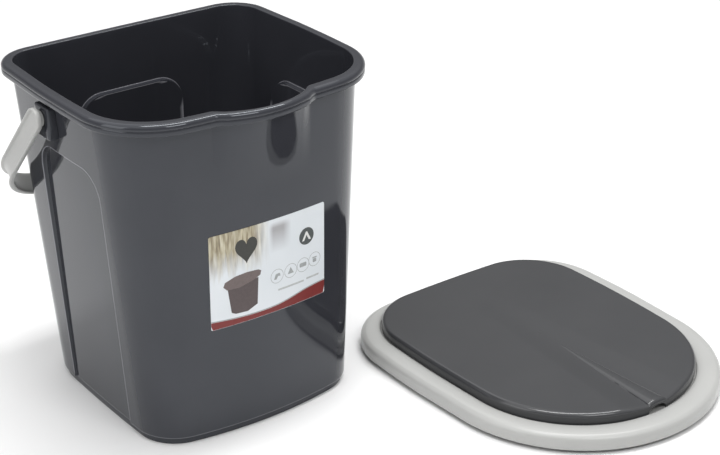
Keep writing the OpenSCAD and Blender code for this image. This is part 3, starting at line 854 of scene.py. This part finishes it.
def build_lid():
    """The lid's shell: its underside, skirt, rounded edge and top."""
    bm = bmesh.new()
    rings = []

    def top_ring(by, z, shrink=1.0, weight=1.0):
        rings.append([(x, y, z + weight * relief(x, y)) for x, y in lid_outline(by, shrink)])

    def skirt_ring(by, low, share, high):
        ring = []
        for x, y in lid_outline(by):
            foot = skirt_low(x, y, low)
            ring.append((x, y, mix(foot, high, share)))
        rings.append(ring)

    steps = [i / LID_STEPS for i in range(1, LID_STEPS)]
    for k in steps:
        top_ring(LID_EDGE, LID_TOP - LID_T, k)
    top_ring(LID_EDGE + 0.4, LID_TOP - LID_T)
    top_ring(3.2, LID_TOP - LID_T - 0.8, 1.0, 0.9)
    top_ring(LID_T, LID_TOP - 5.0, 1.0, 0.6)
    skirt_ring(LID_T, LID_LOW + 0.25, 0.5, INNER_SKIRT_TOP)
    skirt_ring(LID_T, LID_LOW + 0.25, 0.0, INNER_SKIRT_TOP)
    for by, low in SKIRT_FOOT:
        skirt_ring(by, LID_LOW + low, 0.0, INNER_SKIRT_TOP)
    for share in (0.35, 0.7, 1.0):
        skirt_ring(0.0, LID_LOW + SKIRT_FOOT[-1][1], share, SKIRT_TOP - 0.05)
    for c, s in turns(9, 90, 9):
        top_ring(LID_EDGE * (1 - c), SKIRT_TOP + EDGE_RISE * s, 1.0, s)
    for k in reversed(steps):
        top_ring(LID_EDGE, LID_TOP, k)
    mid = relief(0, DOME_Y)
    ends = tuple((0, DOME_Y, z + mid) for z in (LID_TOP - LID_T, LID_TOP))
    add_rings(bm, rings, caps=ends)
    bm.transform(Matrix.Translation((SEAT_AT[0], SEAT_AT[1], 0)))
    return finish_mesh("lid_shell", bm, 42)


# ---- label ---------------------------------------------------------------------------

# Heights above the film's face of the first and second printed layers, and of its back.
INK = 0.03
OVERPRINT = 0.06
FILM_BACK = 0.02 - LABEL_T
FILM_CORNER = 2.0
# Sides of a printed patch longer than this share of the label are split to follow its bow.
LONGEST = 0.035

BAND_RED = (0.19, 0.014, 0.012)
LINE_GREY = (0.32, 0.34, 0.34)
BADGE_GREY = (0.075, 0.085, 0.085)
TENT_WHITE = (0.80, 0.80, 0.78)
HEART_BLACK = (0.035, 0.036, 0.03)
SMALL_BUCKET = (0.085, 0.062, 0.062)
SMALL_LID = (0.15, 0.115, 0.11)
ICON_GREY = (0.36, 0.38, 0.38)
BAR_GREY = (0.5, 0.52, 0.52)


def front_wall(x, z):
    """Depth of the bucket's front face at x and z."""
    s = wall_shape(z)
    r = bow_radius(s.half, s.front_bow)
    return r - s.front - math.sqrt(r * r - x * x)


def on_label(u, v, layer=0.0):
    """The point at u across and v down the label, layer millimetres above its film."""
    x = LABEL_X + LABEL_W * (u - 0.5)
    z = LABEL_LOW + LABEL_H * (1 - v)
    return (x, front_wall(x, z) - LABEL_AIR - LABEL_T - layer, z)


def build_film():
    """The label's film, with rounded corners and a real edge."""
    bm = bmesh.new()
    r = FILM_CORNER
    heights = [LABEL_H * f for f in (0.0, 0.0015, 0.004, 0.008, 0.013, 0.02)]
    heights += [LABEL_H * f / 20 for f in range(1, 20)]
    heights += [LABEL_H - h for h in heights[5::-1]]
    front = []
    back = []
    for h in heights:
        from_end = min(h, LABEL_H - h)
        cut = r - math.sqrt(max(0.0, r * r - (r - from_end) ** 2)) if from_end < r else 0.0
        low_u = cut / LABEL_W
        row = [mix(low_u, 1 - low_u, i / 36) for i in range(37)]
        v = 1 - h / LABEL_H
        front.append([on_label(u, v) for u in row])
        back.append([on_label(u, v, FILM_BACK) for u in row])
    add_strip(bm, front)
    add_strip(bm, back)
    for k in (0, -1):
        add_strip(bm, [front[k], back[k]])
        add_strip(bm, [[row[k] for row in front], [row[k] for row in back]])
    return finish_mesh("label_film", bm, 40)


def print_patch(bm, outline, layer):
    """A printed shape on the film, from its outline in (u, v)."""
    flat = [bm.verts.new((u, 0, v)) for u, v in outline]
    face = bm.faces.new(flat)
    made = bmesh.ops.triangulate(bm, faces=[face])["faces"]
    for _ in range(5):
        edges = {e for f in made for e in f.edges}
        long = [e for e in edges if abs(e.verts[0].co.x - e.verts[1].co.x) > LONGEST]
        if not long:
            break
        parts = bmesh.ops.subdivide_edges(bm, edges=long, cuts=1)
        fresh = [f for f in parts["geom"] if isinstance(f, bmesh.types.BMFace)]
        whole = {f for f in [*made, *fresh] if f.is_valid}
        made = bmesh.ops.triangulate(bm, faces=list(whole))["faces"]
    for v in {v for f in made for v in f.verts}:
        v.co = on_label(v.co.x, v.co.z, layer)


def circle_uv(u, v, r, steps=40):
    """A round outline of radius r millimetres about (u, v)."""
    return [(u + r / LABEL_W * math.cos(math.tau * i / steps),
             v + r / LABEL_H * math.sin(math.tau * i / steps)) for i in range(steps)]


def print_hoop(bm, u, v, r, width):
    """A thin round line of radius r millimetres about (u, v)."""
    outer = [on_label(a, b, INK) for a, b in circle_uv(u, v, r, 56)]
    inner = [on_label(a, b, INK) for a, b in circle_uv(u, v, r - width, 56)]
    add_rings(bm, [outer, inner])


def print_box(bm, u0, v0, u1, v1, round_mm=0.5):
    """A rounded rectangle between two corners."""
    ru, rv = round_mm / LABEL_W, round_mm / LABEL_H
    points = []
    for cu, cv, start in ((u1 - ru, v1 - rv, 0), (u0 + ru, v1 - rv, 90),
                          (u0 + ru, v0 + rv, 180), (u1 - ru, v0 + rv, 270)):
        points += [(cu + ru * c, cv + rv * s) for c, s in turns(start, start + 90, 30)]
    print_patch(bm, points, INK)


def finish_print(name, bm, colour):
    """A thin printed layer, dressed as part of the label."""
    for face in bm.faces:
        face.normal_update()
    bm.transform(Matrix.Scale(MM, 4))
    flip = [f for f in bm.faces if f.normal.y > 0]
    bmesh.ops.reverse_faces(bm, faces=flip)
    mesh = bpy.data.meshes.new(name)
    bm.to_mesh(mesh)
    bm.free()
    mesh.shade_smooth()
    obj = new_object(name, mesh)
    return dress(obj, print_ink(name + "_ink", colour), "bucket", "label_film")


def heart_uv(u, v, w, h):
    """A plain heart about (u, v), w wide and h high, as shares of the label."""
    points = []
    for i in range(44):
        t = math.tau * i / 44
        x = 16 * math.sin(t) ** 3
        y = 13 * math.cos(t) - 5 * math.cos(2 * t) - 2 * math.cos(3 * t) - math.cos(4 * t)
        points.append((u + x / 32 * w, v - (y + 2.5) / 29 * h))
    return points


def wave_top(u):
    """Upper edge of the band along the label's foot, as a share of its height."""
    return 0.915 + 0.03 * math.sin(math.pi * min(1.0, u * 1.25)) - 0.055 * smooth((u - 0.5) / 0.5)


def print_shape(name, outline, colour, layer=INK):
    """A piece printed as one flat shape."""
    bm = bmesh.new()
    print_patch(bm, outline, layer)
    finish_print(name, bm, colour)


def print_strip(name, rows, colour):
    """A piece printed as a strip across the label, from rows of (u, v)."""
    bm = bmesh.new()
    add_strip(bm, [[on_label(u, v, INK) for u, v in row] for row in rows])
    finish_print(name, bm, colour)


def build_band():
    """The wavy band along the label's foot, and the thin line above it."""
    columns = [i / 40 for i in range(41)]
    edge = [(u, wave_top(u)) for u in columns]
    middle = [(u, mix(v, 0.992, 0.5)) for u, v in edge]
    foot = [(min(0.988, max(0.012, u)), 0.998) for u in columns]
    print_strip("label_band", [edge, middle, foot], BAND_RED)
    print_strip("label_band_line", [[(u, v - up) for u, v in edge] for up in (0.012, 0.002)],
                LINE_GREY)


def build_icons():
    """Four ringed icons: a bent shape, a triangle, a rounded block and a lidded pail."""
    bm = bmesh.new()
    centres = ((0.557, 0.62), (0.68, 0.612), (0.795, 0.6), (0.905, 0.585))
    for u, v in centres:
        print_hoop(bm, u, v, 7.9, 0.5)
    (ru, rv), (tu, tv), (cu, cv), (pu, pv) = centres
    print_patch(bm, [(ru - 0.028, rv + 0.03), (ru - 0.012, rv - 0.025), (ru + 0.024, rv - 0.028),
                     (ru + 0.03, rv + 0.006), (ru + 0.008, rv + 0.002),
                     (ru - 0.005, rv + 0.034)], INK)
    print_patch(bm, [(tu - 0.028, tv + 0.03), (tu, tv - 0.04), (tu + 0.028, tv + 0.03)], INK)
    print_box(bm, cu - 0.032, cv - 0.024, cu + 0.032, cv + 0.02, 1.2)
    print_box(bm, pu - 0.022, pv - 0.026, pu + 0.022, pv - 0.012)
    print_box(bm, pu - 0.017, pv - 0.008, pu + 0.017, pv + 0.032, 1.0)
    finish_print("label_icons", bm, ICON_GREY)


def build_bars():
    """Plain bars in place of the wording."""
    bm = bmesh.new()
    print_box(bm, 0.565, 0.765, 0.80, 0.785)
    print_box(bm, 0.825, 0.755, 0.945, 0.775)
    finish_print("label_caption_bars", bm, BAR_GREY)


def build_artwork():
    """Generic printed artwork: a band, a badge, a heart, a small bucket and icons."""
    build_band()
    print_shape("label_badge", circle_uv(0.83, 0.3, 9.5, 48), BADGE_GREY)
    print_shape("label_badge_tent", [(0.788, 0.345), (0.824, 0.25), (0.836, 0.25), (0.872, 0.345),
                                     (0.852, 0.345), (0.83, 0.288), (0.808, 0.345)],
                TENT_WHITE, OVERPRINT)
    print_shape("label_heart", heart_uv(0.30, 0.245, 0.185, 0.27), HEART_BLACK)
    print_shape("label_small_bucket", [(0.137, 0.585), (0.395, 0.560), (0.383, 0.845),
                                       (0.30, 0.893), (0.20, 0.885), (0.166, 0.862)],
                SMALL_BUCKET)
    print_shape("label_small_lid", [(0.105, 0.565), (0.118, 0.520), (0.20, 0.482), (0.30, 0.470),
                                    (0.395, 0.478), (0.420, 0.497), (0.412, 0.540),
                                    (0.36, 0.572), (0.24, 0.612), (0.135, 0.607)],
                SMALL_LID, OVERPRINT)
    build_icons()
    build_bars()


def film_material():
    """White film printed with weathered boards that fade out to the right and below."""
    m = Nodes("label_film_print")
    split = m.add("ShaderNodeSeparateXYZ")
    m.link(m.coords, split.inputs["Vector"])
    left = (LABEL_X - LABEL_W / 2) * MM
    top = (LABEL_LOW + LABEL_H) * MM
    across = m.span(split.outputs["X"], left, left + LABEL_W * MM)
    down = m.span(split.outputs["Z"], top, top - LABEL_H * MM)
    grain = m.noise(70.0, 5.0, (4.5, 1, 0.55))
    boards = m.noise(34.0, 1.0, (2.4, 1, 0.03))
    wood = m.ramp(grain, [(0.25, (0.10, 0.075, 0.05)), (0.42, (0.36, 0.31, 0.21)),
                          (0.58, (0.62, 0.58, 0.44)), (0.75, (0.80, 0.80, 0.72))])
    gaps = m.ramp(boards, [(0.35, (0.42, 0.36, 0.27)), (0.6, (0.95, 0.93, 0.86))])
    wood = m.blend(0.45, wood, gaps, "MULTIPLY")
    drips = m.noise(60.0, 4.0, (3.5, 1, 0.5))
    fade_x = m.span(across, 0.5, 0.36)
    fade_y = m.span(m.maths("ADD", down, m.maths("MULTIPLY", drips, 0.35)), 0.66, 0.36)
    mask = m.maths("MULTIPLY", fade_x, fade_y)
    patch_x = m.maths("MULTIPLY", m.span(across, 0.49, 0.53), m.span(across, 0.69, 0.62))
    patch_y = m.maths("MULTIPLY", m.span(down, 0.03, 0.09), m.span(down, 0.36, 0.12))
    window = m.maths("MULTIPLY", m.maths("MULTIPLY", patch_x, patch_y), 0.6)
    paper = m.ramp(m.noise(14.0, 2.0), [(0.3, (0.70, 0.74, 0.77)), (0.7, (0.76, 0.79, 0.82))])
    colour = m.blend(window, paper, (0.16, 0.13, 0.13))
    colour = m.blend(mask, colour, wood)
    m.link(colour, m.shader.inputs["Base Color"])
    m.shader.inputs["Roughness"].default_value = 0.34
    return m.material


# ---- put the object together ---------------------------------------------------------

dress(build_bucket(), bucket_plastic, "bucket", "anthracite_plastic", "bucket")
dress(build_boss("boss_left", -1), bucket_plastic, "bucket", "anthracite_plastic",
      "left_pivot_boss")
dress(build_boss("boss_right", 1), bucket_plastic, "bucket", "anthracite_plastic",
      "right_pivot_boss")
dress(build_bail(), grey_plastic, "bail", "light_grey_plastic", "bail")
# A pivot stud as (x, radius): from inside the strap, over its collar, to its tip.
STUD_FROM = HALF_GAP + 1.1
STUD_SOFT = 0.5
COLLAR_X = BOSS_FACE + 0.4
TIP_X = BORE_FLOOR + 0.8
STUD_PROFILE = [(STUD_FROM, 0), (STUD_FROM, COLLAR_R), (COLLAR_X + STUD_SOFT, COLLAR_R),
                (COLLAR_X, COLLAR_R - STUD_SOFT), (COLLAR_X, STUD_R),
                (TIP_X + STUD_SOFT, STUD_R), (TIP_X, STUD_R - STUD_SOFT), (TIP_X, 0)]
for stud_name, stud_side in (("bail_stud_left", -1), ("bail_stud_right", 1)):
    dress(build_lathe(stud_name, STUD_PROFILE, stud_side), grey_plastic, "bail",
          "light_grey_plastic")
dress(build_seat(), grey_plastic, "seat", "light_grey_plastic", "seat")
dress(build_seat_ribs(), grey_plastic, "seat", "light_grey_plastic")
dress(build_lid(), lid_plastic, "lid", "anthracite_plastic", "lid")
dress(build_film(), film_material(), "bucket", "label_film", "label")
build_artwork()


# ---- floor, light and camera, in metres ----------------------------------------------

FLOOR_HALF = 12.0
FLOOR_CELLS = 12
CAMERA_AT = (-0.8566, -1.4271, 0.9745)
CAMERA_YAW = 0.64386
CAMERA_PITCH = 0.45079
CAMERA_LENS = 87.13
# Brightness of the sky against the Z of its direction, from the horizon to overhead.
SKY = ((0.0, 0.7), (0.12, 0.5), (0.3, 0.22), (0.45, 0.44), (0.72, 0.8), (1.0, 0.45))
# Each light's place, the point it faces, its width and height, and its power in watts.
LIGHTS = {
    "overhead": ((0.2, 0.6, 3.2), (0.2, 0.6, 0.0), (4.5, 4.5), 50),
    "strip": ((0.55, -0.1, 2.36), (0.55, -0.1, 0.0), (1.9, 0.3), 32),
    "fill": ((0.1, -1.7, 1.9), (0.1, -0.1, 0.2), (0.9, 0.6), 11),
    "left": ((-2.0, -0.2, 1.3), (0.0, 0.0, 0.15), (1.2, 1.6), 12),
}


def build_floor():
    """A plain pale floor, which is part of the stage."""
    bm = bmesh.new()
    marks = [mix(-FLOOR_HALF, FLOOR_HALF, i / FLOOR_CELLS) for i in range(FLOOR_CELLS + 1)]
    add_strip(bm, [[(x, y, 0.0) for x in marks] for y in marks])
    mesh = bpy.data.meshes.new("floor")
    bm.to_mesh(mesh)
    bm.free()
    obj = new_object("floor", mesh)
    m = Nodes("floor_white")
    m.link(m.ramp(m.noise(3.0), [(0.3, (0.86, 0.86, 0.86)), (0.7, (0.88, 0.88, 0.88))]),
           m.shader.inputs["Base Color"])
    m.shader.inputs["Roughness"].default_value = 0.6
    obj.data.materials.append(m.material)


def build_light(name, place, aim, size, power):
    """A soft rectangular light that faces a point."""
    data = bpy.data.lights.new(name, "AREA")
    data.shape = "RECTANGLE"
    data.size, data.size_y = size
    data.energy = power
    obj = new_object(name, data)
    obj.location = place
    obj.rotation_euler = (Vector(aim) - Vector(place)).to_track_quat("-Z", "Y").to_euler()


def build_camera():
    """The camera, turned by its yaw from +Y and pitched down."""
    data = bpy.data.cameras.new("camera")
    data.sensor_width = 36.0
    data.lens = CAMERA_LENS
    data.clip_end = 50.0
    obj = new_object("camera", data)
    level = math.cos(CAMERA_PITCH)
    ahead = Vector((math.sin(CAMERA_YAW) * level, math.cos(CAMERA_YAW) * level,
                    -math.sin(CAMERA_PITCH)))
    right = Vector((math.cos(CAMERA_YAW), -math.sin(CAMERA_YAW), 0))
    up = right.cross(ahead)
    facing = Matrix((right, up, -ahead)).transposed().to_4x4()
    obj.matrix_world = Matrix.Translation(CAMERA_AT) @ facing
    bpy.context.scene.camera = obj


def build_sky():
    """A studio sky whose brightness changes only with height."""
    world = bpy.data.worlds.new("studio")
    world.use_nodes = True
    tree = world.node_tree
    way = tree.nodes.new("ShaderNodeTexCoord")
    split = tree.nodes.new("ShaderNodeSeparateXYZ")
    ramp = tree.nodes.new("ShaderNodeValToRGB")
    stops = ramp.color_ramp.elements
    while len(stops) < len(SKY):
        stops.new(0.5)
    for stop, (height, value) in zip(stops, SKY):
        stop.position = height
        stop.color = (value, value, value, 1.0)
    tree.links.new(way.outputs["Generated"], split.inputs["Vector"])
    tree.links.new(split.outputs["Z"], ramp.inputs["Fac"])
    tree.links.new(ramp.outputs["Color"], tree.nodes["Background"].inputs["Color"])
    bpy.context.scene.world = world


build_floor()
build_camera()
build_sky()
for light_name, light_facts in LIGHTS.items():
    build_light(light_name, *light_facts)
bpy.context.scene.view_settings.view_transform = "Standard"
